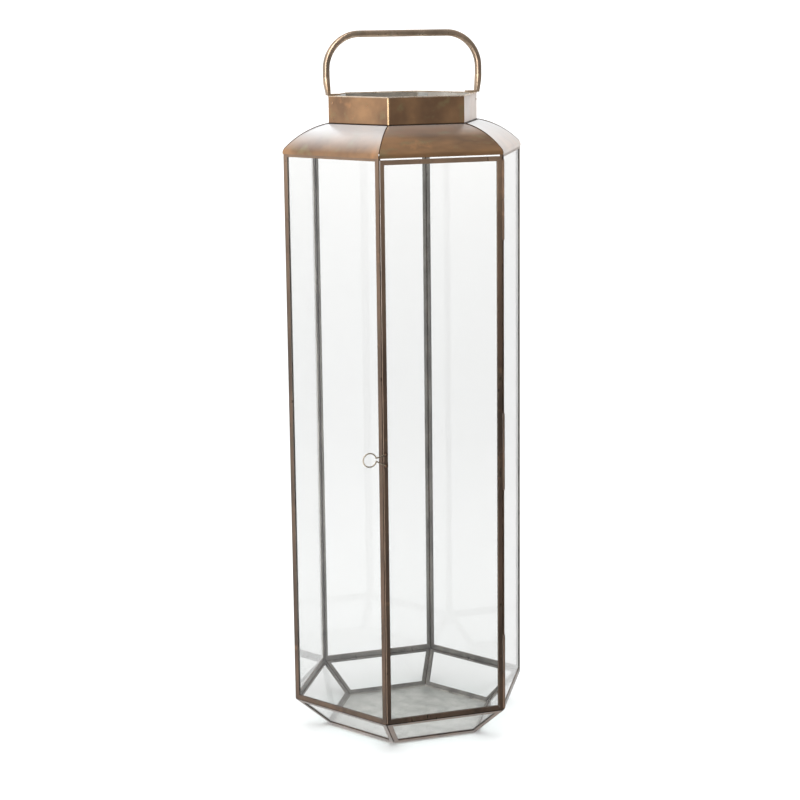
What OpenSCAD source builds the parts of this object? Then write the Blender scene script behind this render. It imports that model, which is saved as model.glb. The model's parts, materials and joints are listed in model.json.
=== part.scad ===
// Tall hexagonal glass lantern case: a glass skirt and five fixed glass walls in soldered
// brass came, a glass door hinged on one corner, a curved sheet roof with an open
// six-sided collar, and a bent tube carrying handle.
// Millimetres, +Z up, origin at the centre of the floor. The door faces -Y.

/* [Case] */
// Distance from the upright axis to each corner of the glass walls
corner_r = 127; // [118:0.5:132]
// Distance from the axis to each corner of the floor
floor_r = 89.8; // [84:0.2:96]
// Height of the rim, where the sloping skirt meets the upright walls
rim_z = 32.5; // [28:0.1:38]
// Height of the eave, where the upright walls meet the roof
eave_z = 600; // [560:1:640]

/* [Glass and came] */
// Thickness of every pane
glass_t = 2; // [1.6:0.1:2.2]
// Visible width of the folded came around each pane
came_face = 4.6; // [4:0.1:5.2]
// Depth of the came from its outer face to its inner face
came_depth = 3.4; // [3.2:0.1:3.8]
// Thickness of the sheet that the came is folded from
came_sheet = 0.6; // [0.4:0.05:0.6]
// Width of the open groove between the cames of two neighbouring panes
groove = 1.2; // [0.8:0.1:1.6]
// Width of that groove at the hinge corner
hinge_groove = 2; // [1.9:0.05:2.4]

/* [Door] */
// Gap between the top of the door and the eave
door_top_gap = 1.6; // [1:0.1:2.4]
// Gap between the rim and the bottom of the door
door_bottom_gap = 0.8; // [0.6:0.1:1.6]
// Radius of the hinge wire
pin_r = 0.6; // [0.5:0.05:0.65]
// Outer radius of the hinge tubes
knuckle_r = 1.25; // [1.15:0.05:1.3]
// Length of each hinge tube
knuckle_len = 38.6; // [30:0.2:42]
// Height of the loop pull above the floor
pull_z = 307.3; // [200:1:400]
// Outer diameter of the loop pull
pull_d = 15; // [13:0.5:18]
// Radius of the pull's wire
pull_wire_r = 0.7; // [0.6:0.05:0.9]

/* [Roof and collar] */
// Distance from the axis to each corner of the eave
eave_r = 127.8; // [127.8:0.1:134]
// Height at which the roof's curve starts, above the eave
eave_rise = 3.5; // [3:0.5:6]
// Height of the line where the roof meets the collar
roof_top_z = 628.7; // [626:0.1:636]
// Radius of the roof panels' curve
roof_curve_r = 73.7; // [64:0.1:90]
// Thickness of the roof and collar sheet
sheet = 0.5; // [0.4:0.1:0.6]
// Distance from the axis to each corner of the collar
collar_r = 79.1; // [76:0.1:82]
// Height of the collar's top edge
collar_top_z = 656.2; // [650:0.1:664]

/* [Handle] */
// Radius of the handle's tube
tube_r = 3.5; // [3:0.1:4]
// Distance from the axis to the middle of each handle leg
leg_x = 80.8; // [80.4:0.1:81.2]
// Height of the handle's highest point
handle_top_z = 719.7; // [712:0.5:730]
// Radius of the handle's bends, at the middle of the tube
bend_r = 34.5; // [24:0.5:38]

/* [Hidden] */
$fn = 64;

SIDES = 6;
turn = 360 / SIDES;
half_turn = turn / 2;
reach = 160;                    // more than the case's radius
far_z = 760;                    // above everything
deep_z = -20;                   // below everything

brass = "#8a6b50";
dark_brass = "#5f4c3a";
tin = "#9a9c9a";
clear = [0.80, 0.88, 0.86, 0.35];

// Distance from the axis to the middle of a side, from the distance to its corners
function apothem(r) = r * cos(half_turn);
// Half the width of a side's flat face at apothem a, cut back by a groove of half-width g
function half_width(a, g) = a * tan(half_turn) - g / cos(half_turn);
function unit(v) = v / norm(v);

wall_a = apothem(corner_r);
floor_a = apothem(floor_r);
eave_a = apothem(eave_r);
collar_a = apothem(collar_r);
groove_half = groove / 2;
hinge_groove_half = hinge_groove / 2;
seam_h = 0.6;                   // height of the solder line between skirt and walls
skirt_top_z = rim_z - seam_h / 3;
wall_bottom_z = skirt_top_z + seam_h;
wall_lap = 2;                   // the fixed walls reach this far up inside the roof's rim
ring_z = eave_z + wall_lap;     // underside of the ring that lies on the walls
wall_top_z = ring_z - 0.1;

// A flat panel: foot apothem, foot height, head apothem, head height, and the half
// grooves at its left and right corners, seen from outside
SKIRT = [floor_a, 0, wall_a, skirt_top_z, groove_half, groove_half];
WALL = [wall_a, wall_bottom_z, wall_a, wall_top_z, groove_half, groove_half];
HINGE_WALL = [wall_a, wall_bottom_z, wall_a, wall_top_z, hinge_groove_half, groove_half];
DOOR = [wall_a, rim_z + door_bottom_gap, wall_a, eave_z - door_top_gap,
        groove_half, hinge_groove_half];

slot_t = glass_t + 0.1;         // width of the came's slot
edge_gap = 0.3;                 // space between a pane's edge and the came's web
mitre_gap = 0.1;                // hairline at each mitred corner of a came frame

function panel_slant(p) = norm([p[2] - p[0], p[3] - p[1]]);
function panel_tilt(p) = atan2(p[2] - p[0], p[3] - p[1]);

// Corners of a panel's outer face, moved in by inset: bottom left, bottom right,
// top right, top left
function face_points(p, inset) =
    let (h = panel_slant(p),
         grow = (p[2] - p[0]) * tan(half_turn) / h,
         back = inset * sqrt(1 + grow * grow),
         left = half_width(p[0], p[4]) - back,
         right = half_width(p[0], p[5]) - back)
    [[-left - grow * inset, inset], [right + grow * inset, inset],
     [right + grow * (h - inset), h - inset], [-left - grow * (h - inset), h - inset]];

// The pie slice of one side, cut back from its left and right corner planes
module sector(left, right) {
    intersection() {
        rotate([0, 0, -half_turn]) translate([left, -reach, deep_z])
            cube([reach, reach, far_z - deep_z]);
        rotate([0, 0, half_turn]) translate([-reach - right, -reach, deep_z])
            cube([reach, reach, far_z - deep_z]);
    }
}

// Everything between two heights
module between(low, high) {
    translate([-reach, -reach, low]) cube([2 * reach, 2 * reach, high - low]);
}

// Turns a piece drawn on the door's side to side k
module on_side(k) { rotate([0, 0, turn * k]) children(); }

// Turns a piece drawn on the -Y axis to corner k; the door is between corners 0 and 1
module on_corner(k) { rotate([0, 0, turn * k - half_turn]) children(); }

// Places a drawing whose X is a panel's width, Z its height and Y its depth
module in_panel(p) {
    translate([0, -p[0], p[1]]) rotate([panel_tilt(p), 0, 0]) children();
}

// A flat outline given depth, from one distance behind the outer face to another
module slab(points, from, to) {
    translate([0, to, 0]) rotate([90, 0, 0]) linear_extrude(height = to - from) polygon(points);
}

// A rectangle that covers a whole panel from one height up
module panel_sheet(p, low, from, to) {
    translate([-reach, from, low]) cube([2 * reach, to - from, panel_slant(p) + 8 - low]);
}

// The came around one panel: four mitred bars of folded channel, open towards the pane
module came_frame(p) {
    outer = face_points(p, 0);
    inner = face_points(p, came_face);
    lip = (came_depth - slot_t) / 2;
    difference() {
        intersection() {
            in_panel(p) panel_sheet(p, 0, 0, came_depth);
            sector(p[4], p[5]);
            between(deep_z, p[3]);
        }
        in_panel(p) slab(inner, -1, came_depth + 1);
        intersection() {
            in_panel(p) panel_sheet(p, came_sheet, lip, lip + slot_t);
            sector(p[4] + came_sheet, p[5] + came_sheet);
            between(deep_z, p[3] - came_sheet);
        }
        in_panel(p) for (i = [0:3]) mitre_cut(outer[i], inner[i]);
    }
}

// The hairline between two bars, from the outer corner to the corner of the opening
module mitre_cut(outer, inner) {
    along = unit(inner - outer);
    across = [-along.y, along.x] * mitre_gap / 2;
    start = outer - along * 6;
    end = inner + along;
    slab([start + across, start - across, end - across, end + across], -1, came_depth + 1);
}

// One bar of a came frame: 0 bottom, 1 right, 2 top, 3 left
module came_bar(p, i) {
    outer = face_points(p, 0);
    inner = face_points(p, came_face);
    j = (i + 1) % 4;
    intersection() {
        came_frame(p);
        in_panel(p) slab([outer[i] - unit(inner[i] - outer[i]) * 6, inner[i], inner[j],
                          outer[j] - unit(inner[j] - outer[j]) * 6], -1, came_depth + 1);
    }
}

// The pane held in a panel's came
module pane(p) {
    back = came_sheet + edge_gap;
    front = (came_depth - glass_t) / 2;
    intersection() {
        in_panel(p) panel_sheet(p, back, front, front + glass_t);
        sector(p[4] + back, p[5] + back);
        between(deep_z, p[3] - back);
    }
}

// A section of distance from the axis and height, made a plate of this width
module plate(width) {
    rotate([90, 0, 90]) linear_extrude(height = width, center = true)
        mirror([1, 0]) children();
}

// A flat bar along one side, mitred at the corners with a hairline
module side_bar(inner_a, outer_a, low, high) {
    intersection() {
        translate([-reach, -outer_a, low]) cube([2 * reach, outer_a - inner_a, high - low]);
        sector(mitre_gap / 2, mitre_gap / 2);
    }
}

// ---- floor and skirt ----

floor_t = 1;                    // thickness of the floor sheet
floor_edge = 1.3;               // the floor stops this far inside the skirt's foot

module floor_plate() {
    color(tin) linear_extrude(height = floor_t)
        circle(r = floor_r - floor_edge / cos(half_turn), $fn = SIDES);
}

// A solder bead all round where the skirt's came meets the floor
module floor_solder() {
    bead_w = 2;
    bead_h = 1.2;
    bead_peak = 1.25;           // distance of the bead's ridge from its outer edge
    bead_a = floor_a - floor_edge;
    color(tin) for (k = [0:SIDES - 1]) on_side(k) intersection() {
        along_side() polygon([[bead_a, floor_t], [bead_a - bead_w, floor_t],
                              [bead_a - bead_peak, floor_t + bead_h]]);
        sector(mitre_gap / 2, mitre_gap / 2);
    }
}

module skirt_glass(k) { color(clear) on_side(k) pane(SKIRT); }
module skirt_came(k) { color(brass) on_side(k) came_frame(SKIRT); }

fin_w = groove - 0.1;           // width of the solder in a groove
fin_front = 1.6;                // how deep in a groove its solder starts
fin_back = 4.6;                 // and how deep it ends

// Solder in the six sloping grooves of the skirt, clear of the floor and of the rim
module skirt_seams() {
    front = 1;
    back = 4;
    foot_gap = 1.1;
    head_gap = 2;
    fall = atan2(corner_r - floor_r, skirt_top_z);
    into = [-cos(fall), sin(fall)];
    foot = [floor_r, 0];
    head = [corner_r, skirt_top_z];
    rise = unit(head - foot);
    color(dark_brass) for (k = [0:SIDES - 1]) on_corner(k)
        plate(fin_w) polygon([foot + into * front + rise * foot_gap,
                              foot + into * back + rise * foot_gap,
                              head + into * back - rise * 2 * head_gap,
                              head + into * front - rise * head_gap]);
}

// Solder line between the skirt and the walls
module rim_seam() {
    color(dark_brass) for (k = [0:SIDES - 1]) on_side(k)
        side_bar(wall_a - 3, wall_a - 0.8, skirt_top_z, wall_bottom_z);
}

// ---- walls ----

module wall_glass(k) { color(clear) on_side(k) pane(k == 1 ? HINGE_WALL : WALL); }
module wall_came(k) { color(brass) on_side(k) came_frame(k == 1 ? HINGE_WALL : WALL); }

// Solder in the upright grooves; beside the door's free edge it is the door's stop, and
// corner 1 has the hinge instead
module corner_seams() {
    color(dark_brass) for (k = [0, 2, 3, 4, 5]) on_corner(k)
        plate(fin_w) translate([corner_r - fin_back, wall_bottom_z])
            square([fin_back - fin_front, wall_top_z - wall_bottom_z]);
}

// ---- door ----

module door_glass() { color(clear) pane(DOOR); }
module door_bottom_rail() { color(brass) came_bar(DOOR, 0); }
module door_hinge_stile() { color(brass) came_bar(DOOR, 1); }
module door_top_rail() { color(brass) came_bar(DOOR, 2); }
module door_pull_stile() { color(brass) came_bar(DOOR, 3); }

// The hinge's axis stands just outside corner 1
hinge_out = 0.36;
hinge_r = corner_r + hinge_out;
bore_clearance = 0.08;
knuckle_gap = 0.8;              // end play between a door tube and a post tube
leaf_t = 0.5;                   // thickness of the strip that joins a tube to its came
leaf_w = 4.4;                   // how far that strip lies on the came
HINGES = [35, 265.2, 517];      // lower end of each pair of tubes
DOOR_IS_LOWER = [true, true, false];

module hinge_wire() {
    low = rim_z + 1;
    high = eave_z - 0.2;
    color(dark_brass) on_corner(1) translate([0, -hinge_r, low])
        cylinder(r = pin_r, h = high - low);
}

// One rolled tube with its strip, on the door's came. The strip ends inside the tube's wall
module knuckle(low) {
    bore_r = pin_r + bore_clearance;
    strip_end = hinge_out / 2 - (knuckle_r + bore_r) / 2;
    difference() {
        union() {
            on_corner(1) translate([0, -hinge_r, low]) cylinder(r = knuckle_r, h = knuckle_len);
            translate([corner_r / 2 - leaf_w, -wall_a - leaf_t, low])
                cube([leaf_w + strip_end, leaf_t, knuckle_len]);
        }
        on_corner(1) translate([0, -hinge_r, low - 1]) cylinder(r = bore_r, h = knuckle_len + 2);
    }
}

module door_knuckles() {
    color(brass) for (i = [0:2])
        knuckle(HINGES[i] + (DOOR_IS_LOWER[i] ? 0 : knuckle_len + knuckle_gap));
}

module post_knuckles() {
    color(brass) mirror([cos(half_turn), sin(half_turn), 0]) for (i = [0:2])
        knuckle(HINGES[i] + (DOOR_IS_LOWER[i] ? knuckle_len + knuckle_gap : 0));
}

// The pull: one bent wire, a round loop beyond the free edge with splayed ends on the door
pull_ring_r = pull_d / 2 - pull_wire_r;
pull_x = -corner_r / 2 - 13.8;
neck_angle = 13;
neck_x = pull_x + pull_ring_r * cos(neck_angle);
neck_rise = pull_ring_r * sin(neck_angle);
end_x = -corner_r / 2 + 3.2;
END_RISES = [4.5, -7];          // where the two ends lie, from the loop's middle
pull_y = -wall_a - pull_wire_r - 0.05;

module pull_leg(neck, end) {
    run = norm([end_x - neck_x, end - neck]);
    lean = atan2(end_x - neck_x, end - neck);
    translate([neck_x, 0, neck]) rotate([0, lean, 0]) cylinder(r = pull_wire_r, h = run);
    for (q = [[neck_x, neck], [end_x, end]])
        translate([q.x, 0, q.y]) sphere(r = pull_wire_r + 0.03);
}

module door_pull() {
    color("#b9b4aa") translate([0, pull_y, pull_z]) {
        translate([pull_x, 0, 0]) rotate([90, 0, 0]) rotate([0, 0, neck_angle])
            rotate_extrude(angle = 360 - 2 * neck_angle)
                translate([pull_ring_r, 0]) circle(r = pull_wire_r, $fn = 32);
        pull_leg(neck_rise, END_RISES[0]);
        pull_leg(-neck_rise, END_RISES[1]);
    }
}

// A bead of solder in front of each end of the pull
module pull_solder() {
    color("#b9b4aa") for (rise = END_RISES) difference() {
        translate([end_x, -wall_a, pull_z + rise]) intersection() {
            sphere(r = 2.1);
            translate([-3, -3, -3]) cube([6, 3, 6]);
        }
        translate([0, pull_y, pull_z]) {
            pull_leg(sign(rise) * neck_rise, rise);
        }
    }
}

// ---- roof ----

// Inner flange of the roof, lying on the walls
module eave_ring() {
    ring_w = 8;
    ring_outer_a = eave_a - sheet - 0.3;
    color(tin) for (k = [0:SIDES - 1]) on_side(k)
        side_bar(ring_outer_a - ring_w, ring_outer_a, ring_z, ring_z + sheet);
}

roof_foot = [eave_a, eave_z + eave_rise];
roof_head = [collar_a + 0.25, roof_top_z];
roof_chord = roof_head - roof_foot;
roof_middle = (roof_foot + roof_head) / 2;
roof_sag = sqrt(pow(roof_curve_r, 2) - pow(norm(roof_chord) / 2, 2));
roof_centre = roof_middle + roof_sag * [-unit(roof_chord).y, unit(roof_chord).x];
hip_half = 0.45;                // half the width of the groove along each hip

// The roof's curve turns into its upright rim on a smaller arc that touches both
rim_curve_r = 5;
rim_centre_x = eave_a - rim_curve_r;
rim_centre = [rim_centre_x,
              roof_centre.y + sqrt(pow(roof_curve_r - rim_curve_r, 2)
                                   - pow(rim_centre_x - roof_centre.x, 2))];
roof_touch = roof_centre + roof_curve_r * unit(rim_centre - roof_centre);

// Section of a curved sheet between the rays from its centre through two points, as
// distance from the axis and height
module arc_section(centre, outer_r, thick, from, to) {
    intersection() {
        translate(centre) difference() {
            circle(r = outer_r, $fn = 128);
            circle(r = outer_r - thick, $fn = 128);
        }
        polygon([centre, centre + 2 * outer_r * unit(from - centre),
                 centre + 2 * outer_r * unit(to - centre)]);
    }
}

// Runs a section along one side
module along_side() {
    plate(2 * reach) children();
}

module roof_panel(k) {
    color(brass) on_side(k) intersection() {
        along_side() {
            arc_section(roof_centre, roof_curve_r, sheet, roof_touch, roof_head);
            arc_section(rim_centre, rim_curve_r, sheet, [eave_a, rim_centre.y], roof_touch);
            translate([eave_a - sheet, eave_z]) square([sheet, rim_centre.y - eave_z]);
        }
        sector(hip_half, hip_half);
    }
}

// A hip is the roof's arc drawn out to the corner: close to the circle through its two
// ends and its middle
hip_foot = [roof_touch.x / cos(half_turn), roof_touch.y];
hip_head = [roof_head.x / cos(half_turn), roof_head.y];
hip_chord = hip_head - hip_foot;
hip_middle = (hip_foot + hip_head) / 2;
roof_crown = roof_centre + roof_curve_r * unit((roof_touch + roof_head) / 2 - roof_centre);
hip_sag = norm([roof_crown.x / cos(half_turn), roof_crown.y] - hip_middle);
hip_curve_r = (pow(norm(hip_chord) / 2, 2) + pow(hip_sag, 2)) / (2 * hip_sag);
hip_centre = hip_middle + (hip_curve_r - hip_sag) * [-unit(hip_chord).y, unit(hip_chord).x];

// Solder strip in the groove along each hip, standing a little above the sheets
module roof_hips() {
    strip_w = 2 * hip_half - 0.1;
    strip_t = 1;
    above = 0.1;
    color(dark_brass) for (k = [0:SIDES - 1]) on_corner(k) plate(strip_w)
        arc_section(hip_centre, hip_curve_r + above, strip_t, hip_foot, hip_head);
}

// Solder line where the roof meets the collar, broken by the strips on the hips
module roof_solder() {
    bead_h = 0.9;
    bead_w = 1.8;
    above = 0.02;               // hairline between the bead and the sheets it lies on
    fall = bead_w * (roof_head.x - roof_centre.x) / (roof_head.y - roof_centre.y);
    color(dark_brass) for (k = [0:SIDES - 1]) on_side(k) intersection() {
        along_side() polygon([[collar_a + above, roof_top_z + above], roof_head + [0, above],
                              roof_head + [bead_w, above - fall],
                              [collar_a + above, roof_top_z + bead_h]]);
        sector(hip_half, hip_half);
    }
}

// ---- collar ----

hem_h = 1.2;
hem_out = 0.5;                  // the hem stands this far outside the collar
collar_bottom_z = roof_top_z - 5;

module collar() {
    color(brass) translate([0, 0, collar_bottom_z])
        linear_extrude(height = collar_top_z - hem_h - collar_bottom_z) difference() {
            circle(r = collar_r, $fn = SIDES);
            circle(r = collar_r - sheet / cos(half_turn), $fn = SIDES);
        }
}

// The collar's sheet overlaps itself inside, beside corner 3
module collar_lap() {
    lap_w = 13;
    inside_a = collar_a - sheet;
    color(tin) on_side(2)
        translate([half_width(inside_a, 0) - lap_w - 1, -inside_a, collar_bottom_z + 1])
            cube([lap_w, sheet * 0.75, collar_top_z - hem_h - collar_bottom_z - 2]);
}

module collar_hem() {
    color(brass) for (k = [0:SIDES - 1]) on_side(k)
        side_bar(collar_a - sheet - 0.4, collar_a + hem_out, collar_top_z - hem_h, collar_top_z);
}

// ---- handle ----

handle_z = handle_top_z - tube_r;
bend_x = leg_x - bend_r;
bend_z = handle_z - bend_r;
leg_end_z = 674;                // the round tube starts to flatten here
leg_waist_z = 667.6;            // height at which the outer side of the leg bends inwards
leg_waist = 0.94;               // thickness of the leg at that height, as part of the tube's
foot_w = 8.6;                   // width of the flattened end
foot_t = 3;                     // thickness of the flattened end
foot_x = 77.7;                  // inner face of the flattened end
plate_x = 67.8;                 // inner end of the plate on the collar's corner
plate_t = 1.6;
strap_t = 1.8;                  // thickness of the strap inside the collar
strap_x = 73.2;                 // inner face of that strap
strap_low_z = 640;

module handle_tube() {
    color("#8f7a58") {
        translate([-bend_x, 0, handle_z]) rotate([0, 90, 0]) cylinder(r = tube_r, h = 2 * bend_x);
        for (s = [0, 1]) mirror([s, 0, 0]) {
            translate([bend_x, 0, bend_z]) rotate([90, 0, 0])
                rotate_extrude(angle = 90) translate([bend_r, 0]) circle(r = tube_r, $fn = 48);
            translate([leg_x, 0, leg_end_z]) cylinder(r = tube_r, h = bend_z - leg_end_z);
        }
    }
}

// The tube's flattened end, on a plate over the collar's corner, with a strap down inside
module handle_foot() {
    slice = 0.2;
    plate_z = collar_top_z + 0.1;
    hull() {
        translate([leg_x, 0, leg_end_z - slice]) cylinder(r = tube_r, h = slice, $fn = 32);
        translate([leg_x - tube_r * (1 - leg_waist), 0, leg_waist_z])
            scale([leg_waist, 1 / leg_waist, 1]) cylinder(r = tube_r, h = slice, $fn = 32);
        translate([foot_x, -foot_w / 2, plate_z + plate_t]) cube([foot_t, foot_w, slice]);
    }
    translate([plate_x, -foot_w / 2, plate_z])
        cube([foot_x + foot_t - plate_x, foot_w, plate_t]);
    translate([strap_x, -foot_w / 2, strap_low_z])
        cube([strap_t, foot_w, plate_z + 0.1 - strap_low_z]);
}

module handle_foot_left() { color("#8f7a58") mirror([1, 0, 0]) handle_foot(); }
module handle_foot_right() { color("#8f7a58") handle_foot(); }

// Soldered rivet heads on the collar, one on each side of the corners under the handle
module collar_rivets() {
    head_r = 1.3;
    head_sunk = 0.5;            // how far the head's middle lies inside the collar's face
    from_corner = 5;
    from_top = 7;
    color("#b9b4aa") for (k = [1, 2, 4, 5]) on_side(k) {
        toward = (k == 1 || k == 4) ? 1 : -1;
        translate([toward * (half_width(collar_a, 0) - from_corner), -collar_a,
                   collar_top_z - from_top])
            intersection() {
                translate([0, head_sunk, 0]) sphere(r = head_r);
                translate([-head_r, -head_r, -head_r]) cube([2 * head_r, head_r, 2 * head_r]);
            }
    }
}

floor_plate();
floor_solder();
for (k = [1:SIDES]) {
    skirt_glass(k);
    skirt_came(k);
    roof_panel(k);
}
skirt_seams();
rim_seam();
for (k = [1:SIDES - 1]) {
    wall_glass(k);
    wall_came(k);
}
corner_seams();
door_glass();
door_bottom_rail();
door_hinge_stile();
door_top_rail();
door_pull_stile();
hinge_wire();
post_knuckles();
door_knuckles();
door_pull();
pull_solder();
eave_ring();
roof_hips();
roof_solder();
collar();
collar_lap();
collar_hem();
handle_tube();
handle_foot_left();
handle_foot_right();
collar_rivets();
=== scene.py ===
"""Looks of the tall hexagonal glass lantern case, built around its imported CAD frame.

Everything is in metres, +Z up, with the door facing -Y. Corner 0 is at the door's free
edge and corner 1 at its hinge.
"""

import json
import math

import bpy
from mathutils import Matrix, Vector


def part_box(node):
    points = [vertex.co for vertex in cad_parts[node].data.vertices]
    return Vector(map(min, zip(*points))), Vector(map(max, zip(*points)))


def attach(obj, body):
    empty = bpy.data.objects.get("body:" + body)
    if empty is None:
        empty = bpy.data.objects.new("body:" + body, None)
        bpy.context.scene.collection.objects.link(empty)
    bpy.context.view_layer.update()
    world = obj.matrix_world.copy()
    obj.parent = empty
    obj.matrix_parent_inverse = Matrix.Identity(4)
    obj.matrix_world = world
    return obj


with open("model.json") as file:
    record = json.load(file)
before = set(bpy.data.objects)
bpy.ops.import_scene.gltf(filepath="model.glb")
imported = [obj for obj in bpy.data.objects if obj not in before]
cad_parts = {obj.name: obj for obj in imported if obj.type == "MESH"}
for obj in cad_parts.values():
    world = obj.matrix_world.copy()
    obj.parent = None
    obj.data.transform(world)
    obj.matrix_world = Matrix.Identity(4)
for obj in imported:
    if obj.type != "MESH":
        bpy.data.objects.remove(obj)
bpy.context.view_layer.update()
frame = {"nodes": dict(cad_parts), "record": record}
nodes = frame["nodes"]

# ---- measures taken from the frame ----

SIDES = 6
TURN = math.tau / SIDES
HALF_TURN = TURN / 2

collar_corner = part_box("collar")[1].x
roof_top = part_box("roof_solder")[0].z
hem_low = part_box("collar_hem")[0].z
eave_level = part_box("eave_ring")[0].z


def roof_share(share):
    """The height at this share of the roof, from 0 at the eave to 1 at the collar."""
    return eave_level + share * (roof_top - eave_level)


# ---- camera, floor and light ----

CAMERA_PLACE = Vector((-0.6633, -1.9155, 0.7388))
CAMERA_AIM = Vector((0.31789, 0.92843, -0.19225)).normalized()
CAMERA_ROLL = math.radians(-0.68)
CAMERA_LENS = 89.55
CAMERA_SENSOR = 36

FLOOR_REACH = 40
# Painted light and shade on the floor: whiter close by, over the object's own shadow, darker in the
# ring beyond.
CLOSE_FLOOR = (0.90, 0.91, 0.915, 1)
NEAR_FLOOR = (0.835, 0.842, 0.848, 1)
FAR_FLOOR = (0.96, 0.96, 0.96, 1)
CLOSE_TO_NEAR = (0.3, 1.4)      # how far from the axis one tone turns into the next
NEAR_TO_FAR = (2.0, 9.0)

PLAIN_GLOW = 1.45               # the even light, and the background behind the object
WALL_GLOW = 1.0                 # what metal mirrors to the left and behind
DARK_GLOW = 0.34                # and to the front right
FAR_SHADE = 0.2                 # what the wall behind to the right lacks
CEILING_GLOW = 0.5
BACK_LAMP = 0.95                # a soft lamp high behind the object
STRIP_LAMP = 6.0                # a tall lamp to the left of the camera

# Each part of the mirrored room: its azimuth and elevation, and the cosines of the angles
# from there at which it starts and is full. The ceiling's are heights on the unit sphere.
DARK_SIDE, DARK_FADE = (45, 0), (0.10, 0.50)
FAR_CORNER, FAR_FADE = (139, 5), (0.80, 0.96)
BACK_PLACE, BACK_FADE = (176, 34), (0.86, 0.97)
STRIP_PLACE, STRIP_FADE = (-41, 0), (0.975, 0.99)
CEILING_FADE = (0.60, 0.88)

WHITE = (1, 1, 1, 1)


def make_camera():
    """Looks from the left of the door's side, slightly from above."""
    data = bpy.data.cameras.new("camera")
    data.lens = CAMERA_LENS
    data.sensor_width = CAMERA_SENSOR
    data.clip_start = 0.05
    data.clip_end = 60
    camera = bpy.data.objects.new("camera", data)
    bpy.context.scene.collection.objects.link(camera)
    side = CAMERA_AIM.cross(Vector((0, 0, 1))).normalized()
    up = side.cross(CAMERA_AIM)
    right = side * math.cos(CAMERA_ROLL) + up * math.sin(CAMERA_ROLL)
    top = up * math.cos(CAMERA_ROLL) - side * math.sin(CAMERA_ROLL)
    turn = Matrix((right, top, -CAMERA_AIM)).transposed()
    camera.matrix_world = Matrix.Translation(CAMERA_PLACE) @ turn.to_4x4()
    bpy.context.scene.camera = camera


def direction(azimuth, elevation):
    """Unit vector towards a place round the object; azimuth 0 is the door's side."""
    a, e = math.radians(azimuth), math.radians(elevation)
    return Vector((math.sin(a) * math.cos(e), -math.cos(a) * math.cos(e), math.sin(e)))


# ---- node helpers ----


def node(tree, kind, inputs=None, **settings):
    """A new shader node with its settings; an input is a value or another node's output."""
    made = tree.nodes.new(kind)
    for name, value in settings.items():
        setattr(made, name, value)
    for key, value in (inputs or {}).items():
        if isinstance(value, bpy.types.NodeSocket):
            tree.links.new(value, made.inputs[key])
        else:
            made.inputs[key].default_value = value
    return made


def maths(tree, operation, *values):
    return node(tree, "ShaderNodeMath", dict(enumerate(values)), operation=operation).outputs[0]


def vector_maths(tree, operation, *values):
    inputs = dict(enumerate(values))
    return node(tree, "ShaderNodeVectorMath", inputs, operation=operation).outputs


def remap(tree, value, low, high, to_low=0.0, to_high=1.0, curve="LINEAR"):
    """Follows a value from one range into another, and stays at the ends outside it."""
    inputs = {0: value, 1: low, 2: high, 3: to_low, 4: to_high}
    return node(tree, "ShaderNodeMapRange", inputs, interpolation_type=curve).outputs[0]


def fade(tree, value, levels, to_low=0.0, to_high=1.0):
    """A soft-edged change between two levels of a value."""
    return remap(tree, value, *levels, to_low, to_high, "SMOOTHSTEP")


def blend(tree, factor, a, b):
    inputs = {0: factor, 6: a, 7: b}
    return node(tree, "ShaderNodeMix", inputs, data_type="RGBA").outputs[2]


def noise(tree, place, scale, detail=3.0, rough=0.55):
    inputs = {"Vector": place, "Scale": scale, "Detail": detail, "Roughness": rough}
    return node(tree, "ShaderNodeTexNoise", inputs).outputs[0]


def bump(tree, strength, distance, height):
    inputs = {"Strength": strength, "Distance": distance, "Height": height}
    return node(tree, "ShaderNodeBump", inputs).outputs[0]


def object_place(tree, stretch=(1, 1, 1)):
    """The place on the object; a stretch over 1 makes the pattern finer that way."""
    coords = node(tree, "ShaderNodeTexCoord")
    inputs = {"Vector": coords.outputs["Object"], "Scale": stretch}
    return node(tree, "ShaderNodeMapping", inputs).outputs[0]


def around_axis(tree, place):
    """The level direction from the upright axis to a place."""
    level = vector_maths(tree, "MULTIPLY", place, (1, 1, 0))[0]
    return vector_maths(tree, "NORMALIZE", level)[0]


def paint(r, g, b):
    """A linear colour from screen values of 0 to 255, by the sRGB curve."""
    def one(v):
        v /= 255
        return v / 12.92 if v <= 0.04045 else ((v + 0.055) / 1.055) ** 2.4
    return (one(r), one(g), one(b), 1.0)


def new_material(name):
    made = bpy.data.materials.new(name)
    made.use_nodes = True
    tree = made.node_tree
    tree.nodes.clear()
    return made, tree


def finish_tree(tree, kind, shader):
    """Leads a shader to the output node of a material or a world."""
    out = node(tree, kind)
    tree.links.new(shader, out.inputs["Surface"])


# ---- materials ----

EVEN = (0.35, 0.65)             # noise levels that share an area evenly between two tones
SHINE = (0.3, 0.7)              # noise levels between the smoothest and the roughest places
INWARD = (-0.12, -0.22)         # how far a face turns to the axis before it gets its lining
PAINTED_SHEEN_DULLS = -0.8              # what full painted sheen, a painted reflection, takes from the metal's mirroring


def mottle(tree, pattern, levels, strength, under, over):
    """Lays one colour over another where a pattern rises through two levels."""
    return blend(tree, remap(tree, pattern, *levels, 0.0, strength), under, over)


def outwardness(tree):
    """How far the surface faces away from the upright axis, from -1 inside to 1 outside."""
    coords = node(tree, "ShaderNodeTexCoord")
    radial = around_axis(tree, coords.outputs["Object"])
    return vector_maths(tree, "DOT_PRODUCT", radial, coords.outputs["Normal"])["Value"]


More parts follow.
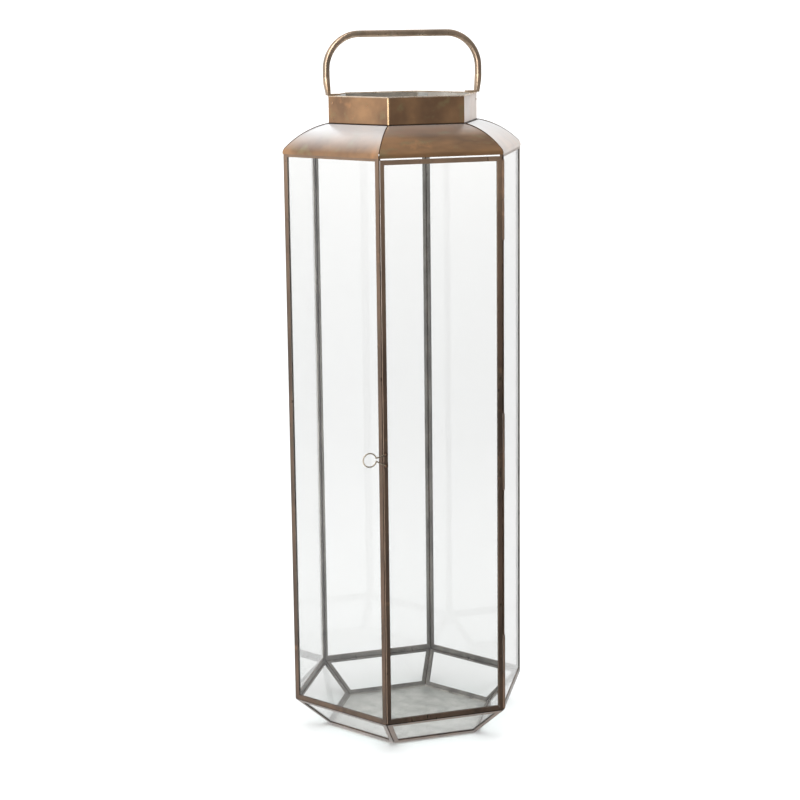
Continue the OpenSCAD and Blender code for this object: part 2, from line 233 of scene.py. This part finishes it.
def patina(tree, tones, stretch, scale, speckle):
    """Mottled antique brass: large clouds of two browns, patches of a third, fine specks."""
    brown, dark, patch, bright = tones
    patch_levels, patch_strength, patch_scale = (0.56, 0.72), 0.7, scale * 2.7
    wear_levels, wear_strength, wear_scale = (0.60, 0.76), 0.75, scale * 1.4
    speck_levels, speck_scale = (0.62, 0.74), 900.0
    place, plain_place = object_place(tree, stretch), object_place(tree)
    clouds = noise(tree, place, scale)
    colour = mottle(tree, clouds, EVEN, 1.0, dark, brown)
    patches = noise(tree, place, patch_scale, detail=4.0)
    colour = mottle(tree, patches, patch_levels, patch_strength, colour, patch)
    wear = noise(tree, plain_place, wear_scale, detail=5.0, rough=0.65)
    colour = mottle(tree, wear, wear_levels, wear_strength, colour, bright)
    specks = noise(tree, plain_place, speck_scale, detail=2.0)
    return mottle(tree, specks, speck_levels, speckle, colour, dark)


def tinning(tree, tones):
    """Grey mottled zinc or tin, lighter and darker in soft patches and fine grain."""
    light, dark = tones
    cloud_stretch, cloud_scale = (1, 1, 0.5), 60.0
    grain_levels, grain_strength, grain_scale = (0.40, 0.66), 0.45, 700.0
    clouds = noise(tree, object_place(tree, cloud_stretch), cloud_scale, detail=4.0)
    colour = mottle(tree, clouds, EVEN, 1.0, dark, light)
    grain = noise(tree, object_place(tree), grain_scale)
    return mottle(tree, grain, grain_levels, grain_strength, colour, dark)


def brass(name, tones, stretch=(1, 1, 1), scale=26.0, rough=(0.26, 0.46), lining=None,
          coat=0.8, haze=0.3, dented=0.3, speckle=0.35, painted_sheen=None):
    """Lacquered antique brass.

    With a lining, every face turned to the axis is grey metal. With a painted sheen the
    colour pales and the metal dulls upwards, a painted reflection: it is the heights where
    that starts and ends, its strength and its tone.
    """
    shine_scale = scale * 3.1
    dent_scale, dent_height = 45.0, 0.0006
    grit_scale, grit_share = 1400.0, 0.015
    made, tree = new_material(name)
    colour = patina(tree, tones, stretch, scale, speckle)
    metal = 1.0
    # Painted reflection: the colour pales upwards towards a pale tone and the metal dulls.
    if painted_sheen:
        low, high, strength, pale_tone = painted_sheen
        level = node(tree, "ShaderNodeSeparateXYZ", {0: object_place(tree)}).outputs["Z"]
        pale = remap(tree, level, low, high, 0.0, strength)
        colour = blend(tree, pale, colour, pale_tone)
        metal = maths(tree, "MULTIPLY_ADD", pale, PAINTED_SHEEN_DULLS, 1.0)
    if lining:
        inside = remap(tree, outwardness(tree), *INWARD)
        colour = blend(tree, inside, colour, tinning(tree, lining))
    place = object_place(tree, stretch)
    roughness = remap(tree, noise(tree, place, shine_scale, detail=4.0), *SHINE, *rough)
    dents = noise(tree, place, dent_scale, detail=2.0)
    grit = noise(tree, object_place(tree), grit_scale, detail=2.0)
    height = maths(tree, "ADD", dents, maths(tree, "MULTIPLY", grit, grit_share))
    shader = node(tree, "ShaderNodeBsdfPrincipled", {
        "Base Color": colour, "Metallic": metal, "Roughness": roughness,
        "Normal": bump(tree, strength=dented, distance=dent_height, height=height),
        "Coat Weight": coat, "Coat Roughness": 0.34, "Coat IOR": 1.6,
        "Sheen Weight": haze, "Sheen Roughness": 0.35})
    finish_tree(tree, "ShaderNodeOutputMaterial", shader.outputs[0])
    return made


def zinc(name, tones, rough=(0.42, 0.62), metallic=0.85):
    """Plain grey or solder-coloured metal with a fine grain and no lacquer."""
    shine_scale, grit_scale = 90.0, 420.0
    made, tree = new_material(name)
    shine = noise(tree, object_place(tree), shine_scale)
    grit = noise(tree, object_place(tree), grit_scale)
    shader = node(tree, "ShaderNodeBsdfPrincipled", {
        "Base Color": tinning(tree, tones), "Metallic": metallic,
        "Roughness": remap(tree, shine, *SHINE, *rough),
        "Normal": bump(tree, strength=0.25, distance=0.0003, height=grit)})
    finish_tree(tree, "ShaderNodeOutputMaterial", shader.outputs[0])
    return made


def glass(name, tint, lamp_tint):
    """Clear float glass that lets lamp light through to what stands inside."""
    ripple_scale = 6.0
    made, tree = new_material(name)
    ripple = noise(tree, object_place(tree), ripple_scale, detail=1.0)
    shader = node(tree, "ShaderNodeBsdfPrincipled", {
        "Base Color": tint, "Roughness": 0.0, "IOR": 1.5, "Transmission Weight": 1.0,
        "Normal": bump(tree, strength=0.04, distance=0.002, height=ripple)})
    clear = node(tree, "ShaderNodeBsdfTransparent", {"Color": lamp_tint})
    path = node(tree, "ShaderNodeLightPath").outputs
    soft = maths(tree, "MAXIMUM", path["Is Shadow Ray"], path["Is Diffuse Ray"])
    inputs = {0: soft, 1: shader.outputs[0], 2: clear.outputs[0]}
    mixed = node(tree, "ShaderNodeMixShader", inputs)
    finish_tree(tree, "ShaderNodeOutputMaterial", mixed.outputs[0])
    return made


def floor_paint():
    """Pale studio paper with painted light and shade: whiter close by the object, over its shadow,
    darker in a ring beyond, and whiter far away.
    """
    made, tree = new_material("studio_floor")
    away = vector_maths(tree, "LENGTH", object_place(tree))["Value"]
    colour = blend(tree, remap(tree, away, *CLOSE_TO_NEAR), CLOSE_FLOOR, NEAR_FLOOR)
    colour = blend(tree, remap(tree, away, *NEAR_TO_FAR), colour, FAR_FLOOR)
    inputs = {"Base Color": colour, "Roughness": 0.9, "Specular IOR Level": 0.1}
    shader = node(tree, "ShaderNodeBsdfPrincipled", inputs)
    finish_tree(tree, "ShaderNodeOutputMaterial", shader.outputs[0])
    return made


# ---- studio ----


def make_floor():
    mesh = bpy.data.meshes.new("studio_floor")
    signs = ((-1, -1), (1, -1), (1, 1), (-1, 1))
    corners = [(x * FLOOR_REACH, y * FLOOR_REACH, 0) for x, y in signs]
    mesh.from_pydata(corners, [], [(0, 1, 2, 3)])
    floor = bpy.data.objects.new("studio_floor", mesh)
    bpy.context.scene.collection.objects.link(floor)
    mesh.materials.append(floor_paint())
    floor.visible_glossy = False


def nearness(tree, place, towards):
    """Cosine of the angle between the looked-at direction and a place round the object."""
    return vector_maths(tree, "DOT_PRODUCT", place, direction(*towards))["Value"]


def make_world():
    """Even white light; shiny metal also mirrors the studio's dark side, ceiling and lamps."""
    world = bpy.data.worlds.new("studio")
    world.use_nodes = True
    bpy.context.scene.world = world
    tree = world.node_tree
    tree.nodes.clear()
    place = node(tree, "ShaderNodeTexCoord").outputs["Generated"]
    height = node(tree, "ShaderNodeSeparateXYZ", {0: place}).outputs["Z"]

    walls = fade(tree, nearness(tree, place, DARK_SIDE), DARK_FADE, WALL_GLOW, DARK_GLOW)
    corner = fade(tree, nearness(tree, place, FAR_CORNER), FAR_FADE, 0.0, FAR_SHADE)
    walls = maths(tree, "SUBTRACT", walls, corner)
    ceiling = fade(tree, height, CEILING_FADE)
    walls = maths(tree, "MULTIPLY", walls, maths(tree, "SUBTRACT", 1.0, ceiling))
    room = maths(tree, "ADD", walls, maths(tree, "MULTIPLY", ceiling, CEILING_GLOW))
    back_lamp = fade(tree, nearness(tree, place, BACK_PLACE), BACK_FADE, 0.0, BACK_LAMP)
    around = around_axis(tree, place)
    strip = fade(tree, nearness(tree, around, STRIP_PLACE), STRIP_FADE, 0.0, STRIP_LAMP)
    glow = maths(tree, "ADD", room, maths(tree, "ADD", back_lamp, strip))

    mirrored = node(tree, "ShaderNodeBackground", {"Color": WHITE, "Strength": glow})
    plain = node(tree, "ShaderNodeBackground", {"Color": WHITE, "Strength": PLAIN_GLOW})
    glossy = node(tree, "ShaderNodeLightPath").outputs["Is Glossy Ray"]
    inputs = {0: glossy, 1: plain.outputs[0], 2: mirrored.outputs[0]}
    mixed = node(tree, "ShaderNodeMixShader", inputs)
    finish_tree(tree, "ShaderNodeOutputWorld", mixed.outputs[0])


# ---- finish of the CAD nodes ----

WELD_REACH = 1e-6
SHARP = math.radians(28)        # edges that bend more than this are edges, the rest are arcs


def weld(piece):
    piece.modifiers.clear()
    piece.modifiers.new("weld", "WELD").merge_threshold = WELD_REACH


def soften(piece, width):
    """Rounds a CAD node's sharp edges a little, as folded and soldered metal has them."""
    weld(piece)
    bevel = piece.modifiers.new("round", "BEVEL")
    bevel.width = width
    bevel.segments = 2
    bevel.limit_method = "ANGLE"
    bevel.angle_limit = SHARP
    bevel.harden_normals = True


def smooth_sheet(piece):
    """Even shading on a curved sheet: its arcs run smooth and its flats and edges stay flat."""
    weld(piece)
    split = piece.modifiers.new("split", "EDGE_SPLIT")
    split.split_angle = SHARP
    split.use_edge_sharp = False
    shade = piece.modifiers.new("shade", "WEIGHTED_NORMAL")
    shade.keep_sharp = True


def dress(names, material, rounding=0.0):
    for name in names:
        piece = nodes[name]
        piece.data.materials.clear()
        piece.data.materials.append(material)
        if rounding:
            soften(piece, rounding)


# ---- small pieces that the CAD leaves out ----


def tube(name, lines, radius, material):
    """Round bars along the given lines of points, made one mesh."""
    curve = bpy.data.curves.new(name, "CURVE")
    curve.dimensions = "3D"
    curve.bevel_depth = radius
    curve.bevel_resolution = 4
    curve.use_fill_caps = True
    for points in lines:
        line = curve.splines.new("POLY")
        line.points.add(len(points) - 1)
        for point, place in zip(line.points, points):
            point.co = (*place, 1)
    shape = bpy.data.objects.new(name + "_line", curve)
    bpy.context.scene.collection.objects.link(shape)
    view = bpy.context.evaluated_depsgraph_get()
    mesh = bpy.data.meshes.new_from_object(shape.evaluated_get(view))
    bpy.data.objects.remove(shape)
    mesh.name = name
    mesh.shade_smooth()
    mesh.materials.clear()
    mesh.materials.append(material)
    piece = bpy.data.objects.new(name, mesh)
    bpy.context.scene.collection.objects.link(piece)
    return piece


def on_corner(corner, outline):
    """An outline of distance from the axis and height, drawn at one of the six corners."""
    azimuth = TURN * corner - HALF_TURN
    return [(r * math.sin(azimuth), -r * math.cos(azimuth), z) for r, z in outline]


def collar_fold(material):
    """The collar's rounded fold above the door's free edge, painted pale cream as a highlight."""
    radius, inset = 0.0013, 0.0011
    foot_gap, head_gap = 0.0005, 0.0001
    centre = collar_corner - inset
    outline = [(centre, roof_top + foot_gap), (centre, hem_low - head_gap)]
    piece = tube("collar_fold", [on_corner(0, outline)], radius, material)
    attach(piece, "case")


def highlight_edge(material):
    """A thin bead down the free edge of the door, painted pale as a highlight that pales further
    upwards.
    """
    radius, inset = 0.00034, 0.0003
    low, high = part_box("door_pull_stile")
    x, y = low.x + inset, low.y + inset
    line = [(x, y, low.z + radius), (x, y, high.z - radius)]
    piece = tube("highlight_edge", [line], radius, material)
    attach(piece, "door")


def hip_beads(material):
    """A round bead of solder on each hip, along a circle from the rim up to the collar."""
    radius, hip_radius, steps = 0.0005, 0.088, 24
    rim_inset, rim_lift, collar_gap = 0.0008, 0.001, 0.001
    low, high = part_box("roof_hips")
    foot = Vector((high.x - rim_inset, low.z + rim_lift))
    head = Vector((collar_corner + collar_gap, high.z))
    chord = head - foot
    out = Vector((chord.y, -chord.x)).normalized()
    centre = (foot + head) / 2 - out * math.sqrt(hip_radius ** 2 - (chord.length / 2) ** 2)
    start = math.atan2(foot.y - centre.y, foot.x - centre.x)
    end = math.atan2(head.y - centre.y, head.x - centre.x)
    outline = []
    for i in range(steps + 1):
        angle = start + (end - start) * i / steps
        outline.append((centre.x + hip_radius * math.cos(angle),
                        centre.y + hip_radius * math.sin(angle)))
    piece = tube("hip_beads", [on_corner(k, outline) for k in range(SIDES)], radius, material)
    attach(piece, "case")


# ---- the camera, the studio and the materials ----

make_camera()
make_floor()
make_world()
bpy.context.scene.view_settings.view_transform = "Standard"

# Of brass: brown, dark, patches, worn places. Of the rest: light, dark.
BRASS_TONES = (paint(186, 140, 95), paint(136, 99, 65), paint(158, 141, 96), paint(214, 154, 100))
ROOF_TONES = (paint(182, 135, 89), paint(131, 97, 63), paint(154, 139, 97), paint(208, 151, 98))
# The fold's pale cream tones are a painted highlight.
FOLD_HIGHLIGHT_TONES = (paint(238, 206, 164), paint(214, 176, 130), paint(224, 200, 160), paint(244, 218, 184))
# The door edge's tones are a painted highlight.
EDGE_HIGHLIGHT_TONES = (paint(160, 134, 114), paint(132, 108, 90), paint(146, 128, 108), paint(182, 152, 128))
CAME_TONES = (paint(117, 92, 72), paint(83, 65, 50), paint(101, 90, 68), paint(154, 117, 86))
HANDLE_TONES = (paint(182, 156, 130), paint(146, 124, 102), paint(168, 156, 136), paint(210, 174, 148))
INNER_TONES = (paint(196, 190, 180), paint(164, 157, 147))
LINING_TONES = (paint(140, 136, 128), paint(98, 94, 88))
HEM_TONES = (paint(240, 226, 208), paint(214, 190, 164))
FOOT_TONES = (paint(206, 184, 160), paint(168, 142, 116))
ZINC_TONES = (paint(208, 208, 204), paint(176, 177, 173))
SEAM_TONES = (paint(84, 70, 58), paint(52, 43, 37))
HIP_TONES = (paint(116, 92, 72), paint(72, 55, 43))
SOLDER_TONES = (paint(200, 196, 188), paint(150, 145, 138))
WIRE_TONES = (paint(196, 186, 170), paint(140, 128, 112))
GLASS_TINT = (0.858, 0.858, 0.853, 1)
LAMP_TINT = (0.96, 0.975, 0.97, 1)

# Each painted sheen is a painted reflection that pales upwards: its heights, strength and tone.
SHEEN_PALE = paint(212, 216, 220)
WARM_SHEEN_PALE = paint(206, 168, 134)
WALL_SHEEN_FOOT = 0.65 * eave_level
ROOF_PAINTED_SHEEN = (roof_share(0.6), roof_top, 0.42, SHEEN_PALE)
SIDE_ROOF_PAINTED_SHEEN = (roof_share(0.1), roof_top, 1.0, SHEEN_PALE)
EDGE_PAINTED_SHEEN = (WALL_SHEEN_FOOT, eave_level, 0.5, SHEEN_PALE)
CAME_PAINTED_SHEEN = (WALL_SHEEN_FOOT, eave_level, 0.3, WARM_SHEEN_PALE)

sheet_brass = brass("sheet_brass", BRASS_TONES, lining=INNER_TONES, haze=0.9)
# All roof panels pale towards the collar: painted sheen.
roof_brass = brass("roof_brass", ROOF_TONES, stretch=(0.6, 0.6, 2.5), rough=(0.32, 0.5),
                   lining=INNER_TONES, painted_sheen=ROOF_PAINTED_SHEEN)
# Painted highlight for the collar's fold.
fold_highlight_brass = brass("fold_highlight_brass", FOLD_HIGHLIGHT_TONES, rough=(0.16, 0.3), haze=0.0, dented=0.02, speckle=0.0)
# Strong painted sheen: the panel pales almost from the eave up to the collar, a painted reflection.
painted_sheen_brass = brass("painted_sheen_brass", BRASS_TONES, rough=(0.36, 0.5), lining=INNER_TONES,
                   coat=1.0, haze=0.7, painted_sheen=SIDE_ROOF_PAINTED_SHEEN)
# Painted highlight for the door's free edge, paler upwards.
edge_highlight_brass = brass("edge_highlight_brass", EDGE_HIGHLIGHT_TONES, rough=(0.28, 0.42), haze=0.0, dented=0.02,
                   speckle=0.0, painted_sheen=EDGE_PAINTED_SHEEN)
# The cames pale warmly towards the eave: painted sheen.
came_brass = brass("came_brass", CAME_TONES, stretch=(1, 1, 0.3), scale=60.0,
                   lining=LINING_TONES, haze=0.0, painted_sheen=CAME_PAINTED_SHEEN)
handle_brass = brass("handle_brass", HANDLE_TONES, scale=40.0, rough=(0.24, 0.4),
                     dented=0.04, speckle=0.1)
hem_metal = zinc("hem_metal", HEM_TONES, rough=(0.2, 0.35), metallic=1.0)
foot_metal = zinc("foot_metal", FOOT_TONES, rough=(0.32, 0.46), metallic=1.0)
floor_zinc = zinc("floor_zinc", ZINC_TONES)
dark_seam = zinc("dark_seam", SEAM_TONES, metallic=0.9)
hip_solder = zinc("hip_solder", HIP_TONES, metallic=0.9)
bright_solder = zinc("bright_solder", SOLDER_TONES, rough=(0.25, 0.4))
wire = zinc("wire", WIRE_TONES, rough=(0.2, 0.35), metallic=1.0)
clear_glass = glass("clear_glass", GLASS_TINT, LAMP_TINT)

# ---- dressing: by slot first, then the nodes that differ from their slot ----

CAME_ROUNDING, SHEET_ROUNDING, HEM_ROUNDING = 0.00022, 0.0001, 0.0003

of_slot = {}
for row in frame["record"]["subparts"]:
    of_slot.setdefault(row["material_slot"], []).append(row["node"])
dress(of_slot["aged_brass_came"], came_brass, CAME_ROUNDING)
dress(of_slot["aged_brass_sheet"], sheet_brass, SHEET_ROUNDING)
for slot, material in {
        "clear_glass": clear_glass, "handle_brass": handle_brass, "galvanised_sheet": floor_zinc,
        "dark_solder": dark_seam, "bright_solder": bright_solder, "hinge_steel": dark_seam,
        "pull_wire": wire}.items():
    dress(of_slot[slot], material)

roof_panels = [f"roof_panel_{side + 1}" for side in range(SIDES)]
dress(roof_panels, roof_brass)
# Panels 1 and 5 take the strong painted sheen.
dress(["roof_panel_1", "roof_panel_5"], painted_sheen_brass)
for name in roof_panels + ["handle_tube"]:
    smooth_sheet(nodes[name])
dress(["collar_hem"], hem_metal, HEM_ROUNDING)
dress(["collar_rivets"], sheet_brass)
dress(["handle_foot_left", "handle_foot_right"], foot_metal)
dress(["roof_hips", "pull_solder"], hip_solder)
# Painted highlight down the collar's fold.
collar_fold(fold_highlight_brass)
# Painted highlight along the door's free edge.
highlight_edge(edge_highlight_brass)
hip_beads(hip_solder)
